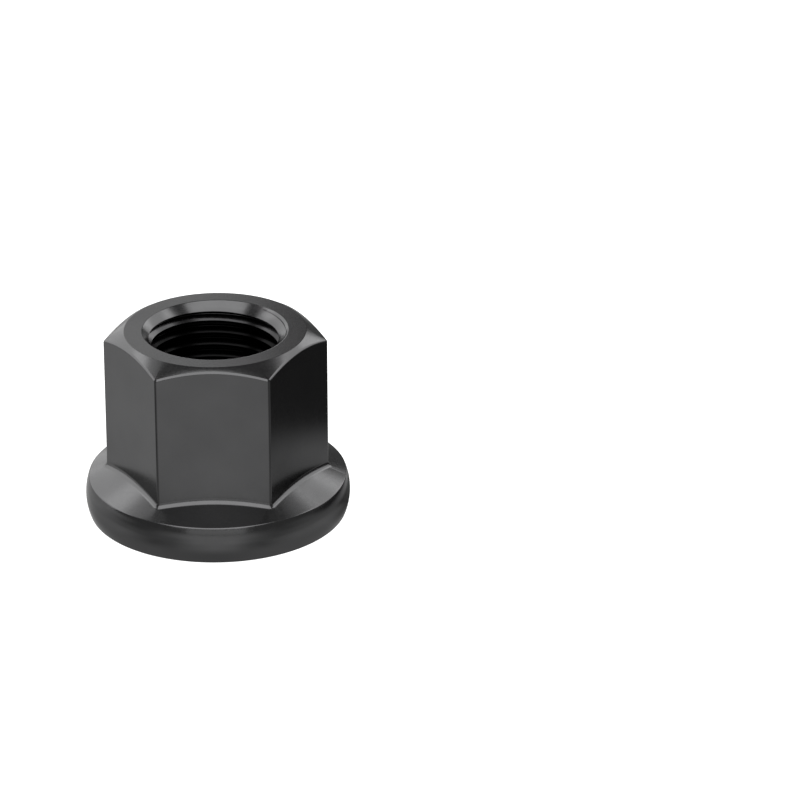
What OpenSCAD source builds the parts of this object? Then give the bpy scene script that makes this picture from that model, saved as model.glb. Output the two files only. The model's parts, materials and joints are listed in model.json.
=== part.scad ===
// High hexagon flange nut, forged in one piece with its conical flange and tapped through.
// The origin is the centre of the bearing face, and +Z runs up along the thread.

/* [Thread] */
// Nominal diameter of the metric thread
thread_d = 16; // [12:0.5:17]
// Thread pitch, which sets how far the crests stand in from the nominal diameter
pitch = 1.5; // [1:0.25:2]
// How much wider than the thread the countersink is at its mouth
countersink_over = 0.5; // [0.2:0.1:1.5]
// Angle between the walls of the countersink
countersink_angle = 90; // [80:5:120]

/* [Hexagon] */
// Width across the flats
across_flats = 22; // [20:0.5:27]
// Height of the whole nut
nut_h = 22; // [16:0.5:30]
// Radius on the six upright edges
corner_r = 0.4; // [0.35:0.05:0.8]
// How far inside the flats the level ring on top ends and the crown chamfer begins
crown_inset = 0.7; // [0.4:0.1:1.2]
// Slope of the crown chamfer below level
chamfer_angle = 30; // [20:1:40]
// Radius along the six arcs where the crown chamfer meets the flats
crown_r = 0.3; // [0.1:0.05:0.3]

/* [Flange] */
// How far the crease of the flange stands out past the corners of the hexagon
flange_reach = 2; // [1:0.1:5]
// Height of the rim, from the bearing face up to the crease
rim_h = 4.25; // [3:0.25:6]
// How far the belly of the rim stands out past the rim's two edges
rim_bulge = 0.4; // [0.2:0.05:0.6]
// Slope of the flange's conical top
flange_slope = 22; // [14:1:30]
// Radius of the hollow where the flats run into the flange
foot_r = 0.5; // [0.3:0.05:0.9]

/* [Hidden] */
FLATS = 6;
FACE_TURN = 360 / FLATS;
// Facets of a full circle where it is drawn as a mesh
$fn = 120;
// Depth of the thread from its nominal radius to its crests, for a pitch of 1
THREAD_DEPTH = 5 * sqrt(3) / 16;
// Cutting tools run this far past the faces that they open
CLEAR = 1;
// Steps of a blend along one flat, round one corner and across its own arc
FLAT_STEPS = 6;
CORNER_STEPS = 2;
ARC_STEPS = 3;
// Share of a step by which the ends of a blend's arc run on into the faces that they join
OVERRUN = 0.4;

apothem = across_flats / 2;
hexagon_r = apothem / cos(FACE_TURN / 2);
// Where the round of a corner has its centre, and where the flats run into that round
corner_reach = (apothem - corner_r) / cos(FACE_TURN / 2);
flat_end = (apothem - corner_r) * tan(FACE_TURN / 2);
minor_r = thread_d / 2 - THREAD_DEPTH * pitch;
edge_r = hexagon_r + flange_reach;
flange_r = edge_r + rim_bulge;

// A cone about the axis is [slope, radius, height]: its slope, and a circle that lies on it
crown_cone = [chamfer_angle, apothem - crown_inset, nut_h];
flange_cone = [flange_slope, edge_r, rim_h];
function cone_z(cone, radius) = cone[2] + (cone[1] - radius) * tan(cone[0]);

function direction(angle) = [cos(angle), sin(angle)];
function unit(v) = v / norm(v);
function lift(point, z) = [point[0], point[1], z];

// Stations round the hexagon, each one [point on the wall, angle that the wall faces]
function flat_stations(turn, steps) =
    [for (i = [0 : steps])
        let (along = flat_end * (2 * i / steps - 1))
        [apothem * direction(turn) + along * direction(turn + 90), turn]];
function corner_stations(turn) =
    [for (i = [1 : CORNER_STEPS - 1])
        let (
            centre = corner_reach * direction(turn + FACE_TURN / 2),
            angle = turn + FACE_TURN * i / CORNER_STEPS
        )
        [centre + corner_r * direction(angle), angle]];
stations = [for (k = [0 : FLATS - 1])
    let (turn = (k + 0.5) * FACE_TURN)
    each concat(flat_stations(turn, FLAT_STEPS), corner_stations(turn))];

// Section of a blend of radius r between the wall and a cone: points along the arc that a
// ball leaves, then one behind it. The ball rolls outside the wall, in the hollow, for
// side 1, and inside the edge for side -1.
function blend_section(station, cone, r, side) =
    let (
        wall = station[0],
        out = side * direction(station[1]),
        ball = wall + r * out,
        centre = lift(ball, cone_z(cone, norm(ball)) + side * r / cos(cone[0])),
        to_wall = lift(-out, 0),
        to_cone = -side * lift(sin(cone[0]) * unit(ball), cos(cone[0])),
        arc = [for (i = [0 : ARC_STEPS])
            centre + r * unit((ARC_STEPS - i) * to_wall + i * to_cone)],
        start = arc[0] + OVERRUN * (arc[0] - arc[1]),
        end = arc[ARC_STEPS] + OVERRUN * (arc[ARC_STEPS] - arc[ARC_STEPS - 1]),
        back = lift(wall - r * out, cone_z(cone, norm(wall)) - side * r)
    )
    [start, for (i = [1 : ARC_STEPS - 1]) arc[i], end, back];

// Closed ring swept round the hexagon, solid behind the arc of its section
module blend(cone, r, side) {
    sections = [for (station = stations) blend_section(station, cone, r, side)];
    count = len(sections);
    size = len(sections[0]);
    polyhedron(
        points = [for (section = sections) each section],
        faces = [for (i = [0 : count - 1], j = [0 : size - 1])
            let (
                here = i * size,
                next = (i + 1) % count * size,
                k = (j + 1) % size
            )
            each [[here + j, here + k, next + k], [here + j, next + k, next + j]]],
        convexity = 4);
}

// Section across the flats, with its six corners rounded
module hexagon_section() {
    polygon([for (k = [0 : FLATS - 1])
        for (station = flat_stations((k + 0.5) * FACE_TURN, 1)) station[0]]);
    for (k = [1 : FLATS])
        translate(corner_reach * direction(k * FACE_TURN))
            circle(r = corner_r);
}

// Hexagon bar turned to its crown chamfer, with a level ring left on top
module barrel() {
    outside_r = hexagon_r + CLEAR;
    difference() {
        intersection() {
            linear_extrude(nut_h + CLEAR)
                hexagon_section();
            rotate_extrude()
                polygon([
                    [0, -CLEAR],
                    [outside_r, -CLEAR],
                    [outside_r, cone_z(crown_cone, outside_r)],
                    [crown_cone[1], nut_h],
                    [0, nut_h]
                ]);
        }
        blend(crown_cone, crown_r, -1);
    }
}

// Turned flange: a cone on top, and a rim drawn by one arc through both its edges
module flange() {
    rim_arc_r = (pow(rim_h / 2, 2) + pow(rim_bulge, 2)) / (2 * rim_bulge);
    rotate_extrude()
        intersection() {
            polygon([
                [0, 0],
                [flange_r, 0],
                [flange_r, cone_z(flange_cone, flange_r)],
                [0, cone_z(flange_cone, 0)]
            ]);
            union() {
                translate([flange_r - rim_arc_r, rim_h / 2])
                    circle(r = rim_arc_r);
                square([edge_r - rim_bulge, nut_h]);
            }
        }
}

// Bore at the thread's crests, opening through a countersink at each end
module bore() {
    half_angle = countersink_angle / 2;
    mouth_r = (thread_d + countersink_over) / 2;
    tool_r = mouth_r + CLEAR * tan(half_angle);
    crest_z = (mouth_r - minor_r) / tan(half_angle);
    rotate_extrude()
        polygon([
            [0, -CLEAR],
            [tool_r, -CLEAR],
            [minor_r, crest_z],
            [minor_r, nut_h - crest_z],
            [tool_r, nut_h + CLEAR],
            [0, nut_h + CLEAR]
        ]);
}

module flange_nut() {
    color([0.13, 0.13, 0.135])
        difference() {
            union() {
                barrel();
                flange();
                blend(flange_cone, foot_r, 1);
            }
            bore();
        }
}

flange_nut();
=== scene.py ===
# %% [markdown]
# This is a tall hexagon nut with a flange, forged from one bar of steel, turned, tapped and
# blackened. The lesson models it the way it is made: a hexagon blank, a turned flange, a tap
# that cuts the thread, and one dark satin finish over all of it.
# %% Load the measured model
import functools
import json
from math import cos, hypot, pi, radians, sin, sqrt, tan

import bmesh
import bpy
from mathutils import Matrix, Vector


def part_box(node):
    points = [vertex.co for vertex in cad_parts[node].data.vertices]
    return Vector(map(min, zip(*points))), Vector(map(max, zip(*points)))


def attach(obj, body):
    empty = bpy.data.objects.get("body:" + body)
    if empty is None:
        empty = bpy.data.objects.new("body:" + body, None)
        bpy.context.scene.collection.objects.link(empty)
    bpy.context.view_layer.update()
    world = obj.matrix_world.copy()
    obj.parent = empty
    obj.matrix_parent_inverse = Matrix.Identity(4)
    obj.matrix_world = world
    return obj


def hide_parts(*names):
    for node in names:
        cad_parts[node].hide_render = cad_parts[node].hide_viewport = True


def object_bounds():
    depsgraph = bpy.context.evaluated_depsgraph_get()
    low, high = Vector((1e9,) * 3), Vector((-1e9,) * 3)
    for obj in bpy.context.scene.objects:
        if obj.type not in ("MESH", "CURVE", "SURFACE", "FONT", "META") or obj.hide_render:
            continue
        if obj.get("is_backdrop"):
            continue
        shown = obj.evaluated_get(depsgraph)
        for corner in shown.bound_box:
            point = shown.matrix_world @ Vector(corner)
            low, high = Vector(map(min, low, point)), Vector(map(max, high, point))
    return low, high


print = functools.partial(print, flush=True)
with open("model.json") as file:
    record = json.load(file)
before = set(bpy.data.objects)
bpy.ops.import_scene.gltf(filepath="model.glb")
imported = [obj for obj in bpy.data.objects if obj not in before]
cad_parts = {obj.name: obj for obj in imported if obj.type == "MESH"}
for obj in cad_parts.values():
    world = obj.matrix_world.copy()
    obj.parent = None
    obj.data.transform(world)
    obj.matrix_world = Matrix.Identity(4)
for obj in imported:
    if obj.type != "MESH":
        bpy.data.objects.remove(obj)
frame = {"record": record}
cad_low, cad_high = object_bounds()
print("measured box, in mm:", [round(1000 * side, 3) for side in cad_high - cad_low])

# %% [markdown]
# Everything is in metres. The height, the flange and the bore come from the measured model, and
# the rest are the nut's own workshop sizes: 22 mm across the flats, a 1.5 mm thread pitch, a
# 30 degree chamfer on the crown and a flange that slopes by 22 degrees.
# %% Sizes of the nut
MM = 0.001
WELD = 0.001 * MM                           # points closer than this are one
FLATS = 6
ROUND = 360                                 # steps of a turned surface
HALF_STEP = pi / ROUND
thread_mount = next(m for m in frame["record"]["mounts"] if m["name"] == "thread")
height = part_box("flange_nut")[1].z
flange_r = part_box("flange_nut")[1].x
crest_r = thread_mount["dims"]["r_mm"] * MM

apothem = 11 * MM
hexagon_r = apothem / cos(pi / FLATS)
corner_round = 0.4 * MM
ring_r = apothem - 0.7 * MM                 # where the level ring on top ends
ring_round = 0.15 * MM
crown_slope = radians(30)
crown_round = 0.42 * MM

rim_bulge = 0.4 * MM
crease_r = flange_r - rim_bulge
crease_z = 4.25 * MM
crease_round = 0.2 * MM
flange_slope = radians(22)
foot_round = 0.68 * MM

pitch = 1.5 * MM
root_r = crest_r + 5 * sqrt(3) / 16 * pitch
mouth_r = root_r + 0.25 * MM
print("height", round(height / MM, 2), "flange radius", round(flange_r / MM, 2),
      "thread", round(2 * root_r / MM, 2), "x", pitch / MM)

# %% [markdown]
# Each step starts from a known state. An operator works on whatever is selected, and the
# measured model comes in selected, so everything is let go of before a new piece is started.
# %% Helpers that let go of pieces and take one
def let_go():
    if bpy.context.mode != "OBJECT":
        bpy.ops.object.mode_set(mode="OBJECT")
    bpy.ops.object.select_all(action="DESELECT")


def take(piece):
    let_go()
    piece.select_set(True)
    bpy.context.view_layer.objects.active = piece


# %% [markdown]
# A cut can number its points in another order in each run, and welding then keeps other ones of
# them. So points, edges and faces are numbered by place first, along a slanted line that no side
# of the nut runs square to. The steps after it then repeat almost exactly.
# %% Helper that numbers points by place
SLANT = Vector((1, 0.7183, 0.3142))


def number_by_place(piece):
    mesh = bmesh.from_edit_mesh(piece.data)
    mesh.verts.sort(key=lambda vertex: vertex.co.dot(SLANT))
    for parts in (mesh.edges, mesh.faces):
        parts.sort(key=lambda part: sum(v.co.dot(SLANT) for v in part.verts) / len(part.verts))
    for parts in (mesh.verts, mesh.edges, mesh.faces):
        parts.index_update()
    bmesh.update_edit_mesh(piece.data)


# %% [markdown]
# Pieces are joined, cut and trimmed by a Boolean modifier. It leaves slivers and level faces in
# many parts, so each result is welded, and its level faces become one, before the next step.
# %% Helpers that clean, join and cut pieces
def tidy(piece):
    take(piece)
    bpy.ops.object.mode_set(mode="EDIT")
    number_by_place(piece)
    bpy.ops.mesh.select_mode(type="VERT")
    bpy.ops.mesh.select_all(action="SELECT")
    bpy.ops.mesh.remove_doubles(threshold=2 * WELD)
    bpy.ops.mesh.dissolve_limited(angle_limit=radians(0.02))
    bpy.ops.object.mode_set(mode="OBJECT")


def combine(piece, tool, operation):
    """The tool is added to the piece, cut from it, or keeps what both share, and is used up."""
    take(piece)
    bpy.ops.object.modifier_add(type="BOOLEAN")
    step = piece.modifiers[-1]
    step.operation = operation
    step.solver = "EXACT"
    step.object = tool
    bpy.ops.object.modifier_apply(modifier=step.name)
    take(tool)
    bpy.ops.object.delete()
    tidy(piece)
    print(piece.name, operation.lower(), "->", len(piece.data.polygons), "faces")


# %% [markdown]
# A turned surface is a profile spun about the axis. The profile is drawn like a pen stroke: one
# vertex is extruded from point to point, in the plane through the axis. Sharp corners of a
# profile get small rounds, because no real edge is perfectly sharp and a round catches light.
# %% Helpers that draw and spin a profile
def rounded(corners, steps=4):
    """Points of an outline. Each corner is (radius from the axis, height, size of its round)."""
    points = []
    for i, (x, z, size) in enumerate(corners):
        here = Vector((x, z))
        if not size:
            points.append(here)
            continue
        before = (Vector(corners[i - 1][:2]) - here).normalized()
        after = (Vector(corners[i + 1][:2]) - here).normalized()
        half = before.angle(after) / 2
        centre = here + (before + after).normalized() * size / sin(half)
        start = here + before * size / tan(half) - centre
        end = here + after * size / tan(half) - centre
        for k in range(steps + 1):
            points.append(centre + size * start.slerp(end, k / steps))
    return points


def draw(name, points):
    let_go()
    bpy.ops.mesh.primitive_plane_add(size=MM)
    piece = bpy.context.object
    piece.name = piece.data.name = name
    bpy.ops.object.mode_set(mode="EDIT")
    bpy.ops.mesh.select_mode(type="VERT")
    bpy.ops.mesh.select_all(action="SELECT")
    bpy.ops.mesh.merge(type="CENTER")
    bpy.ops.transform.translate(value=(points[0].x, 0, points[0].y))
    for here, there in zip(points, points[1:]):
        step = there - here
        bpy.ops.mesh.extrude_region_move(TRANSFORM_OT_translate={"value": (step.x, 0, step.y)})
    return piece


def turned(name, corners, turn):
    """A solid of revolution, from an outline that starts and ends on the axis. A turn of part
    of a step keeps its facets clear of those that it meets, which they would only just touch."""
    piece = draw(name, rounded(corners))
    bpy.ops.mesh.select_all(action="SELECT")
    bpy.ops.mesh.spin(steps=ROUND, angle=2 * pi, center=(0, 0, 0), axis=(0, 0, 1))
    bpy.ops.mesh.select_all(action="SELECT")
    bpy.ops.mesh.remove_doubles(threshold=WELD)
    bpy.ops.mesh.normals_make_consistent(inside=False)
    bpy.ops.transform.rotate(value=turn, orient_axis="Z", center_override=(0, 0, 0))
    bpy.ops.object.mode_set(mode="OBJECT")
    print(name, len(piece.data.polygons), "faces")
    return piece


# %% [markdown]
# The barrel is a hexagon bar whose upright edges are slightly rounded. A six-sided cylinder is
# the start, turned so that one flat faces the front, and a bevel rounds the six upright edges.
# %% Hexagon bar
bar_low = crease_z / 2
bar_high = height + MM
let_go()
bpy.ops.mesh.primitive_cylinder_add(
    vertices=FLATS, radius=hexagon_r, depth=bar_high - bar_low,
    location=(0, 0, (bar_low + bar_high) / 2), rotation=(0, 0, pi / FLATS))
nut = bpy.context.object
nut.name = nut.data.name = "nut"
bpy.ops.object.transform_apply(location=True, rotation=True, scale=True)

bpy.ops.object.mode_set(mode="EDIT")
bpy.ops.mesh.select_all(action="DESELECT")
bpy.ops.mesh.select_mode(type="EDGE")
mesh = bmesh.from_edit_mesh(nut.data)
for edge in mesh.edges:
    rise = edge.verts[1].co - edge.verts[0].co
    edge.select_set(abs(rise.z) > hypot(rise.x, rise.y))
bmesh.update_edit_mesh(nut.data)
bpy.ops.mesh.bevel(offset=corner_round * tan(pi / FLATS), segments=6, profile=0.5)
bpy.ops.object.mode_set(mode="OBJECT")
print("hexagon bar:", [round(side / MM, 2) for side in nut.dimensions])

# %% [markdown]
# The crown is chamfered on a lathe, so the cone cuts each flat in a curve that is high in the
# middle and low at the corners. What the bar and a turned blank share has exactly that shape.
# %% Crown chamfer
blank_r = hexagon_r + MM
crown = turned("crown", [
    (0, bar_low - MM, 0),
    (blank_r, bar_low - MM, 0),
    (blank_r, height - (blank_r - ring_r) * tan(crown_slope), 0),
    (ring_r, height, ring_round),
    (0, height, 0)], HALF_STEP)
combine(nut, crown, "INTERSECT")

# %% [markdown]
# Where the chamfer meets the flats, the six curved edges are softened by tumbling. They are the
# edges between an upright wall and the sloping cone, so they are picked by their two faces. A
# bevel is given by how far from the edge it starts, which follows from the radius and the slope.
# %% Soften the six curved edges of the crown
def round_edges(piece, wanted, offset, segments):
    """The edges that are wanted get a round, which starts at this offset from each of them."""
    take(piece)
    bpy.ops.object.mode_set(mode="EDIT")
    bpy.ops.mesh.select_mode(type="EDGE")
    bpy.ops.mesh.select_all(action="DESELECT")
    mesh = bmesh.from_edit_mesh(piece.data)
    edges = [edge for edge in mesh.edges if wanted(edge)]
    for edge in edges:
        edge.select_set(True)
    count = len(edges)
    bmesh.update_edit_mesh(piece.data)
    bpy.ops.mesh.bevel(offset=offset, segments=segments, profile=0.5, clamp_overlap=False)
    bpy.ops.object.mode_set(mode="OBJECT")
    print("rounded", count, "edges of", piece.name)


def start_of_round(radius, slope):
    """How far from the edge between a wall and this slope a round of this radius starts."""
    return radius * tan((pi / 2 - slope) / 2)


def between_wall_and(slope, low, high):
    """Says whether an edge lies between these heights, from an upright wall to this slope."""
    def wanted(edge):
        tilts = sorted(face.normal.z for face in edge.link_faces)
        return (low < edge.verts[0].co.z < high and abs(tilts[0]) < 0.01
                and abs(tilts[-1] - cos(slope)) < 0.05)
    return wanted


round_edges(nut, between_wall_and(crown_slope, height / 2, height),
            start_of_round(crown_round, crown_slope), 5)

# %% [markdown]
# The flange is turned: a cone on top, a small round at the crease, and a rim that bulges in one
# shallow arc down to the bearing face. The hollow where the flats run into it is rounded last.
# %% Conical flange
rim_r = ((crease_z / 2) ** 2 + rim_bulge ** 2) / (2 * rim_bulge)
rim_steps = 12
rim_half = pi / 2 - Vector((rim_r - rim_bulge, crease_z / 2)).angle(Vector((0, 1)))
rim_points = []
for k in range(rim_steps + 1):
    angle = rim_half * (2 * k / rim_steps - 1)
    rim_points.append((flange_r - rim_r + rim_r * cos(angle), crease_z / 2 + rim_r * sin(angle), 0))
rim_points[-1] = (crease_r, crease_z, crease_round)
flange = turned("flange", [
    (0, 0, 0),
    *rim_points,
    (0, crease_z + crease_r * tan(flange_slope), 0)], HALF_STEP)
combine(nut, flange, "UNION")
round_edges(nut, between_wall_and(flange_slope, crease_z, height / 2),
            start_of_round(foot_round, flange_slope), 6)

# %% [markdown]
# The hole is drilled and countersunk before it is tapped, so that the bolt starts easily. One
# turned tool cuts both 90 degree countersinks and a hole just smaller than the thread's crests.
# Then the two mouth edges are worn a little.
# %% Drilled and countersunk hole
mouth_round = 0.05 * MM
NEAR = 0.01 * MM                            # points this close to the mouth are on it
drill_r = crest_r - 0.2 * MM
tool_r = mouth_r + MM
drill = turned("drill", [
    (0, -MM, 0),
    (tool_r, -MM, 0),
    (drill_r, mouth_r - drill_r, 0),
    (drill_r, height - mouth_r + drill_r, 0),
    (tool_r, height + MM, 0),
    (0, height + MM, 0)], 0)
combine(nut, drill, "DIFFERENCE")
round_edges(nut, lambda edge: all(
    abs(hypot(v.co.x, v.co.y) - mouth_r) < NEAR
    and min(abs(v.co.z), abs(v.co.z - height)) < NEAR for v in edge.verts),
    mouth_round, 3)

# %% [markdown]
# The thread is cut by a tap. The tap is one turn of the thread's outline, drawn from crest to
# crest, that climbs by one pitch in each turn. Its ends are drawn together to a point, beyond
# the nut, so that it is a closed solid.
# Its flanks lean 30 degrees, so a groove is 3/4 of the pitch wide at its mouth and 1/8 at its root.
# %% Outline of the tap, spun into a thread
groove_depth = 1.875 * MM                   # of a groove below the top, on the +X side
turns = 18
turns_below = 15                            # of them, those under that groove
first_z = height - groove_depth - turns_below * pitch
edge_round = 0.05 * MM
half_mouth = pitch * 3 / 8                  # of a groove, along the nut
half_root = pitch / 16
outline = [
    (crest_r, first_z - pitch / 2, 0),
    (crest_r, first_z - half_mouth, edge_round),
    (root_r, first_z - half_root, edge_round),
    (root_r, first_z + half_root, edge_round),
    (crest_r, first_z + half_mouth, edge_round),
    (crest_r, first_z + pitch / 2, 0)]
tap = draw("tap", rounded(outline, steps=2))
bpy.ops.object.mode_set(mode="OBJECT")
bpy.ops.object.modifier_add(type="SCREW")
climb = tap.modifiers[-1]
climb.axis = "Z"
climb.angle = 2 * pi
climb.steps = climb.render_steps = 180
climb.iterations = turns
climb.screw_offset = pitch
climb.use_merge_vertices = True
climb.merge_threshold = WELD
bpy.ops.object.modifier_apply(modifier=climb.name)

# %% [markdown]
# The thread is still an open strip. Its two borders are found as the edges with only one face,
# and each is drawn out and together into a point. Then the tap cuts the nut.
# %% Close the tap and cut the thread
bpy.ops.object.mode_set(mode="EDIT")
bpy.ops.mesh.select_mode(type="VERT")
bpy.ops.mesh.select_all(action="SELECT")
bpy.ops.mesh.remove_doubles(threshold=WELD)
for side in (-1, 1):
    bpy.ops.mesh.select_all(action="DESELECT")
    bpy.ops.mesh.select_non_manifold()
    mesh = bmesh.from_edit_mesh(tap.data)
    for vertex in mesh.verts:
        if side * (vertex.co.z - height / 2) < 0:
            vertex.select_set(False)
    mesh.select_flush_mode()
    bmesh.update_edit_mesh(tap.data)
    bpy.ops.mesh.select_mode(type="EDGE")
    bpy.ops.mesh.extrude_region_move(TRANSFORM_OT_translate={"value": (0, 0, side * pitch)})
    bpy.ops.mesh.merge(type="CENTER")
    bpy.ops.mesh.select_mode(type="VERT")
bpy.ops.mesh.select_all(action="SELECT")
bpy.ops.mesh.normals_make_consistent(inside=False)
bpy.ops.transform.rotate(value=HALF_STEP / 2, orient_axis="Z", center_override=(0, 0, 0))
bpy.ops.object.mode_set(mode="OBJECT")
print("tap:", len(tap.data.polygons), "faces, from",
      round(min(v.co.z for v in tap.data.vertices) / MM, 2), "to",
      round(max(v.co.z for v in tap.data.vertices) / MM, 2), "mm")
combine(nut, tap, "DIFFERENCE")

# %% [markdown]
# Smooth shading follows the rounds. The level ring on top and the bearing face were faced on a
# lathe, so their borders are marked as sharp and they stay dead flat. Weighted normals do the
# same for the six big flats, right up to their rounds.
# %% Shading
take(nut)
bpy.ops.object.mode_set(mode="EDIT")
bpy.ops.mesh.select_all(action="SELECT")
bpy.ops.mesh.remove_doubles(threshold=WELD / 2)
bpy.ops.mesh.select_all(action="DESELECT")
bpy.ops.mesh.select_mode(type="FACE")
mesh = bmesh.from_edit_mesh(nut.data)
for face in mesh.faces:
    face.select_set(abs(face.normal.z) > 0.99999)
bmesh.update_edit_mesh(nut.data)
bpy.ops.mesh.region_to_loop()
bpy.ops.mesh.mark_sharp()
bpy.ops.object.mode_set(mode="OBJECT")
bpy.ops.object.shade_smooth_by_angle(angle=radians(35))
bpy.ops.object.modifier_add(type="WEIGHTED_NORMAL")
weighted = nut.modifiers[-1]
weighted.keep_sharp = True
weighted.weight = 100
bpy.ops.object.modifier_apply(modifier=weighted.name)

mesh = bmesh.new()
mesh.from_mesh(nut.data)
print("open edges:", sum(len(edge.link_faces) != 2 for edge in mesh.edges),
      "volume, in mm3:", round(mesh.calc_volume() / MM ** 3, 1))
mesh.free()

# %% [markdown]
# Every finish here is a tree of shader nodes. These helpers add the few kinds that are used more
# than once, so that each finish below reads as a list of what it is made of.
# %% Helpers that add shader nodes
def new_material(name):
    material = bpy.data.materials.new(name)
    material.use_nodes = True
    return material, material.node_tree, material.node_tree.nodes["Principled BSDF"]


def remap(tree, value, span, result=(0, 1)):
    """A value that runs over the span is spread over the result, and stays inside it."""
    node = tree.nodes.new("ShaderNodeMapRange")
    node.inputs["From Min"].default_value, node.inputs["From Max"].default_value = span
    node.inputs["To Min"].default_value, node.inputs["To Max"].default_value = result
    tree.links.new(value, node.inputs["Value"])
    return node.outputs["Result"]


def length_of(tree, vector):
    node = tree.nodes.new("ShaderNodeVectorMath")
    node.operation = "LENGTH"
    tree.links.new(vector, node.inputs[0])
    return node.outputs["Value"]


def noise(tree, place, scale, detail):
    node = tree.nodes.new("ShaderNodeTexNoise")
    node.inputs["Scale"].default_value = scale
    node.inputs["Detail"].default_value = detail
    tree.links.new(place, node.inputs["Vector"])
    return node.outputs["Fac"]


# %% [markdown]
# Deep in the bore the steel is painted almost black, as painted shade: a mask scales the steel's
# tone by place. It is 1 outside and on the countersinks, which lie beyond the thread's roots, 1
# near both mouths, and 0 in the middle of the bore. This is painted shade and not a tone of the
# oxide, tuned for the likeness.
# %% Mask of the painted shade in the bore
BORE_PAINTED_SHADE_SHARE = 0.06                            # share of the steel's tone in the middle of the bore
dark_below = 3.2 * MM                       # the mask is 0 from this depth under a mouth
light_above = 0.6 * MM                      # and 1 down to this depth


# Painted shade: 1 where the steel keeps its tone, 0 deep in the bore where it is painted dark.
def painted_bore_shade_mask(tree, place):
    split = tree.nodes.new("ShaderNodeSeparateXYZ")
    tree.links.new(place, split.inputs["Vector"])
    level = tree.nodes.new("ShaderNodeCombineXYZ")
    for side in "XY":
        tree.links.new(split.outputs[side], level.inputs[side])
    outside = remap(tree, length_of(tree, level.outputs["Vector"]), (root_r, mouth_r))

    rise = tree.nodes.new("ShaderNodeMath")
    rise.operation = "SUBTRACT"
    rise.inputs[1].default_value = height / 2
    tree.links.new(split.outputs["Z"], rise.inputs[0])
    from_middle = tree.nodes.new("ShaderNodeMath")
    from_middle.operation = "ABSOLUTE"
    tree.links.new(rise.outputs["Value"], from_middle.inputs[0])
    at_mouth = remap(tree, from_middle.outputs["Value"],
                     (height / 2 - dark_below, height / 2 - light_above))

    either = tree.nodes.new("ShaderNodeMath")
    either.operation = "MAXIMUM"
    tree.links.new(outside, either.inputs[0])
    tree.links.new(at_mouth, either.inputs[1])
    return either.outputs["Value"]


# %% [markdown]
# The nut is blackened steel: a thin dark oxide that reflects like a dim metal. One metallic
# shader gives it a dark tone and a satin gloss. Large soft clouds vary its tone, and a fine grain
# varies its gloss and its surface. Deep in the bore the mask above scales its tone down, as
# painted shade.
# %% Blackened steel
GRAIN_SCALE, GRAIN_DETAIL = 2600, 3
CLOUD_SCALE, CLOUD_DETAIL = 180, 4
NOISE_SPAN = (0.3, 0.7)                     # where most of a noise's values lie
OXIDE_TONES = ((0.066, 0.066, 0.067, 1), (0.074, 0.074, 0.075, 1))
EDGE_TINT = (0.68, 0.68, 0.68, 1)           # what it reflects at a grazing angle
GLOSS = (0.16, 0.21)
GRAIN_HEIGHT = 0.004 * MM
GRAIN_STRENGTH = 0.12


def blackened_steel():
    material, tree, shader = new_material("blackened_steel")
    shader.inputs["Metallic"].default_value = 1
    shader.inputs["Specular Tint"].default_value = EDGE_TINT
    place = tree.nodes.new("ShaderNodeTexCoord").outputs["Object"]
    grain = noise(tree, place, GRAIN_SCALE, GRAIN_DETAIL)

    tone = tree.nodes.new("ShaderNodeValToRGB")
    for stop, position, colour in zip(tone.color_ramp.elements, NOISE_SPAN, OXIDE_TONES):
        stop.position = position
        stop.color = colour
    tree.links.new(noise(tree, place, CLOUD_SCALE, CLOUD_DETAIL), tone.inputs["Fac"])
    # Painted shade: the mask scales the steel's tone down to 6 % in the middle of the bore, and
    # keeps it whole outside and near the mouths.
    shade_in_bore = tree.nodes.new("ShaderNodeVectorMath")
    shade_in_bore.operation = "SCALE"
    tree.links.new(tone.outputs["Color"], shade_in_bore.inputs[0])
    share = remap(tree, painted_bore_shade_mask(tree, place), (0, 1), (BORE_PAINTED_SHADE_SHARE, 1))
    tree.links.new(share, shade_in_bore.inputs["Scale"])
    tree.links.new(shade_in_bore.outputs["Vector"], shader.inputs["Base Color"])

    tree.links.new(remap(tree, grain, NOISE_SPAN, GLOSS), shader.inputs["Roughness"])
    bump = tree.nodes.new("ShaderNodeBump")
    bump.inputs["Strength"].default_value = GRAIN_STRENGTH
    bump.inputs["Distance"].default_value = GRAIN_HEIGHT
    tree.links.new(grain, bump.inputs["Height"])
    tree.links.new(bump.outputs["Normal"], shader.inputs["Normal"])
    return material


nut.data.materials.clear()
nut.data.materials.append(blackened_steel())
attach(nut, "root")
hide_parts("flange_nut")

# %% [markdown]
# The photograph was taken a little from above. These few values place the camera: its height
# angle, tiny turns, its distance, and a long lens that keeps upright edges nearly parallel.
# %% Camera
SHOT = 800                                  # pixels along the side of the photograph
LENS = 4825                                 # focal length, in pixels
elevation, roll, spin = radians(24.955), radians(-0.118), radians(0.018)
origin_seen = Vector((-20.804, 11.994, 553.142)) * MM     # right, down and away of the camera

turn_spin = Matrix.Rotation(spin, 3, "Z")
turn_tilt = Matrix(((1, 0, 0),
                    (0, -sin(elevation), -cos(elevation)),
                    (0, cos(elevation), -sin(elevation))))
turn_roll = Matrix.Rotation(roll, 3, "Z")
seen = turn_roll @ turn_tilt @ turn_spin
right, down, away = seen.row

lens = bpy.data.cameras.new("camera")
lens.sensor_width = 36
lens.lens = LENS / SHOT * lens.sensor_width
lens.clip_start = 0.01
camera = bpy.data.objects.new("camera", lens)
bpy.context.scene.collection.objects.link(camera)
stand = Matrix((right, -down, -away)).transposed()
camera.matrix_world = Matrix.Translation(-(seen.transposed() @ origin_seen)) @ stand.to_4x4()
bpy.context.scene.camera = camera
print("camera at, in mm:", [round(side / MM, 1) for side in camera.location])

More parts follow.
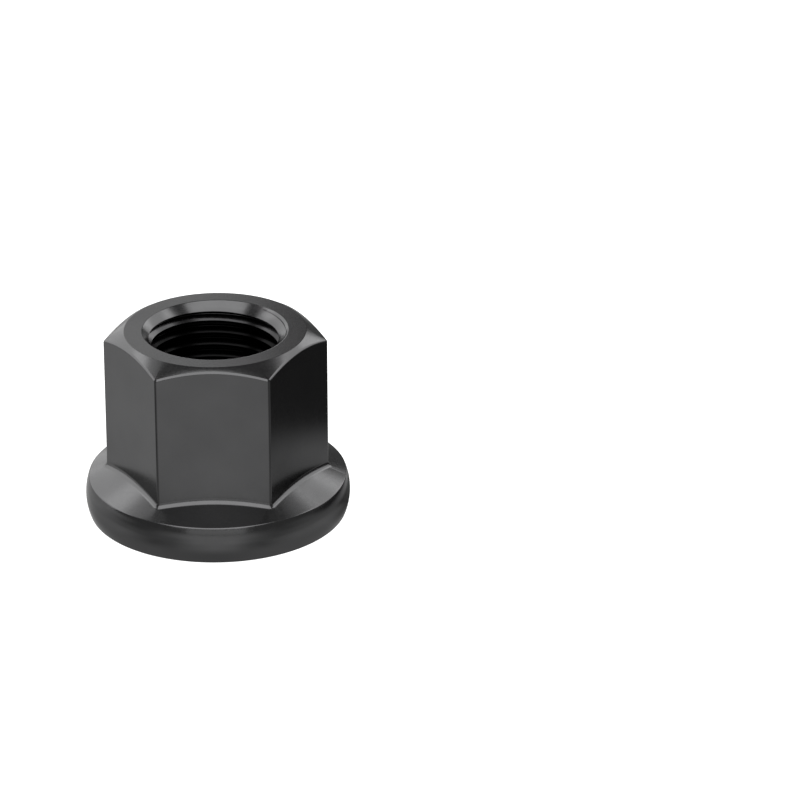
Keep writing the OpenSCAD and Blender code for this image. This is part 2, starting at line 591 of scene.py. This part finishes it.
# %% [markdown]
# A plain white floor stands in for the white paper under the nut. It glows by itself, so that it
# stays white right up to the foot, as it does in the photograph. It lies a hair below the bearing
# face, because two faces in one plane flicker where they are seen from below.
# %% Floor
FLOOR_SIZE = 4
FLOOR_DROP = 0.01 * MM
FLOOR_GREY = (0.3, 0.3, 0.3, 1)

let_go()
bpy.ops.mesh.primitive_plane_add(size=FLOOR_SIZE, location=(0, 0, -FLOOR_DROP))
floor = bpy.context.object
floor.name = "floor"
paper, _, sheet = new_material("paper")
sheet.inputs["Base Color"].default_value = FLOOR_GREY
sheet.inputs["Roughness"].default_value = 1
sheet.inputs["Specular IOR Level"].default_value = 0
sheet.inputs["Emission Color"].default_value = (1, 1, 1, 1)
sheet.inputs["Emission Strength"].default_value = 1
floor.data.materials.append(paper)
floor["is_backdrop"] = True

# %% [markdown]
# Dark satin steel shows little but what it mirrors, and its upright sides mirror the table that
# it stands on. So a round sheet on the floor, which only a reflection can see, is brighter and
# darker from place to place: bright in front and at the left, and dark at the right, beyond a
# bright patch near the foot. That gives the right flat its dark gradient and the rim its bands.
# Its tone runs smoothly round the nut between a few directions, at each of four distances. The
# levels were tuned against the photograph.
# %% Levels of the mirrored table
TABLE_PEAK = 1.4                            # brightness of the table where a level is 1
by_the_foot = ((-90, 0.6), (-60, 0.8), (-45, 0.75), (0, 0.6), (45, 0.75), (66, 0.75), (78, 0.3),
               (90, 0.1), (120, 0.05), (180, 0.3))
close = ((-90, 0.95), (-55, 0.95), (-43, 0.65), (-32, 0.4), (-22, 0.56), (-12, 0.85), (0, 1.05),
         (9, 0.9), (18, 0.56), (25, 0.42), (34, 0.65), (45, 0.85), (66, 0.95), (82, 0.6),
         (90, 0.2), (120, 0.15), (180, 0.4))
near = ((-90, 1.2), (-60, 0.6), (-40, 0.45), (-24, 0.58), (-11, 1.1), (11, 1.1), (24, 0.58),
        (36, 0.42), (60, 0.7), (90, 0.55), (120, 1.05), (150, 0.5), (180, 0.6), (240, 0.95))
far = ((-90, 1.2), (-65, 0.3), (-50, 0.3), (-35, 0.65), (-18, 1.1), (0, 1.15), (18, 1.0),
       (34, 0.5), (50, 0.3), (75, 0.6), (90, 0.09), (120, 0.09), (150, 0.2), (180, 0.8),
       (210, 1.0), (240, 1.1))
RINGS = ((close, 16, 18), (near, 20, 22), (far, 27, 34))  # each fades in between two radii, in mm


# %% [markdown]
# The sheet's glow comes from two readings of a place on it: its direction, from a radial gradient
# that starts at the left, and its distance. Each ring of levels is a colour ramp over the
# direction, and the rings are mixed one after the other by the distance.
# %% Mirrored table
START_TURN = -90                            # the radial gradient starts and ends here
COLOUR_A, COLOUR_B, COLOUR_RESULT = 6, 7, 2  # sockets of a Mix node that are for colours
TABLE_R = 1.9
TABLE_RISE = 0.05 * MM


def level_ramp(nodes, levels):
    """Grey levels round the nut. Each is (turn from the front towards the right, level)."""
    ramp = nodes.new("ShaderNodeValToRGB")
    stops = ramp.color_ramp.elements
    stops[0].position, stops[1].position = 0, 1
    for i, (turn, level) in enumerate((*levels, (START_TURN + 360, levels[0][1]))):
        place = (turn - START_TURN) / 360
        stop = stops[0] if place == 0 else stops[i] if place == 1 else stops.new(place)
        grey = level / TABLE_PEAK
        stop.color = (grey, grey, grey, 1)
    return ramp


def shaded_paper():
    material, tree, shader = new_material("shaded_paper")
    shader.inputs["Base Color"].default_value = (0, 0, 0, 1)
    shader.inputs["Specular IOR Level"].default_value = 0
    place = tree.nodes.new("ShaderNodeTexCoord").outputs["Object"]
    around = tree.nodes.new("ShaderNodeTexGradient")
    around.gradient_type = "RADIAL"
    tree.links.new(place, around.inputs["Vector"])
    distance = length_of(tree, place)

    def ring_tone(levels):
        ramp = level_ramp(tree.nodes, levels)
        tree.links.new(around.outputs["Fac"], ramp.inputs["Fac"])
        return ramp.outputs["Color"]

    tone = ring_tone(by_the_foot)
    for levels, start, end in RINGS:
        mix = tree.nodes.new("ShaderNodeMix")
        mix.data_type = "RGBA"
        tree.links.new(remap(tree, distance, (start * MM, end * MM)), mix.inputs["Factor"])
        tree.links.new(tone, mix.inputs[COLOUR_A])
        tree.links.new(ring_tone(levels), mix.inputs[COLOUR_B])
        tone = mix.outputs[COLOUR_RESULT]
    tree.links.new(tone, shader.inputs["Emission Color"])
    shader.inputs["Emission Strength"].default_value = TABLE_PEAK
    return material


let_go()
bpy.ops.mesh.primitive_circle_add(vertices=96, radius=TABLE_R, fill_type="NGON",
                                  location=(0, 0, TABLE_RISE))
table = bpy.context.object
table.name = "mirrored_table"
table.data.materials.append(shaded_paper())
table.visible_camera = False
table.visible_diffuse = False
table.visible_shadow = False
table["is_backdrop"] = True

# %% [markdown]
# The light is made of soft boxes in a dim room. Each is placed by the direction in which the nut
# sees it. Those behind light the flange, the countersink and the crown from both sides. One large
# box in front and above draws the thin bright lines along the worn edges and lights the bore's
# mouth, and a low one fills the rim. Their values were tuned against the photograph.
# %% Soft boxes
AIM = Vector((0, 0, height))                # the boxes face the crown
REACH = 0.6                                 # from there to each box


def seen_from_nut(turn, lift):
    """A direction: the turn goes from the front towards the right, the lift up from level."""
    turn, lift = radians(turn), radians(lift)
    return Vector((sin(turn) * cos(lift), -cos(turn) * cos(lift), sin(lift)))


def soft_box(name, turn, lift, wide, tall, brightness):
    """A glowing panel. Wide and tall are the angles that it fills, seen from the nut."""
    out = seen_from_nut(turn, lift)
    bpy.ops.object.light_add(type="AREA", location=AIM + out * REACH,
                             rotation=out.to_track_quat("Z", "Y").to_euler())
    box = bpy.context.object
    box.name = name
    box.visible_camera = False
    box.data.shape = "RECTANGLE"
    box.data.size = 2 * REACH * tan(radians(wide / 2))
    box.data.size_y = 2 * REACH * tan(radians(tall / 2))
    box.data.energy = 4 * brightness * box.data.size * box.data.size_y


# Name, turn, lift, width and height as angles, and brightness
soft_box("back_left_box", -125, 24, 62, 48, 1.95)
soft_box("back_left_high_box", -135, 47, 40, 22, 0.9)
soft_box("back_low_box", -168, 8, 24, 16, 1.8)
soft_box("back_box", -167.7, 24.5, 20, 17, 1.0)
soft_box("back_right_box", 124, 29, 58, 42, 1.8)
soft_box("back_right_spot", 148, 24, 20, 18, 1.1)
soft_box("back_right_high_box", 132, 50, 34, 12, 0.5)
soft_box("right_box", 96, 43, 26, 14, 0.9)
soft_box("front_box", -5, 54, 66, 70, 2.2)
soft_box("front_low_box", 0, 7, 50, 14, 0.65)

# %% [markdown]
# The dim room around the boxes lifts what would else be black. Colours go to the picture as they
# are, without a film look, so that the white floor comes out white.
# %% Dim room
ROOM_LIGHT = 0.27

world = bpy.data.worlds.new("room")
world.use_nodes = True
bpy.context.scene.world = world
room = world.node_tree.nodes["Background"]
room.inputs["Color"].default_value = (1, 1, 1, 1)
room.inputs["Strength"].default_value = ROOM_LIGHT
bpy.context.scene.view_settings.view_transform = "Standard"

# %% [markdown]
# Last, the modelled nut's box is printed. The measured model's box was printed at the start.
# %% Print the size
nut_low, nut_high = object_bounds()
print("modelled box, in mm:", [round(1000 * side, 3) for side in nut_high - nut_low])
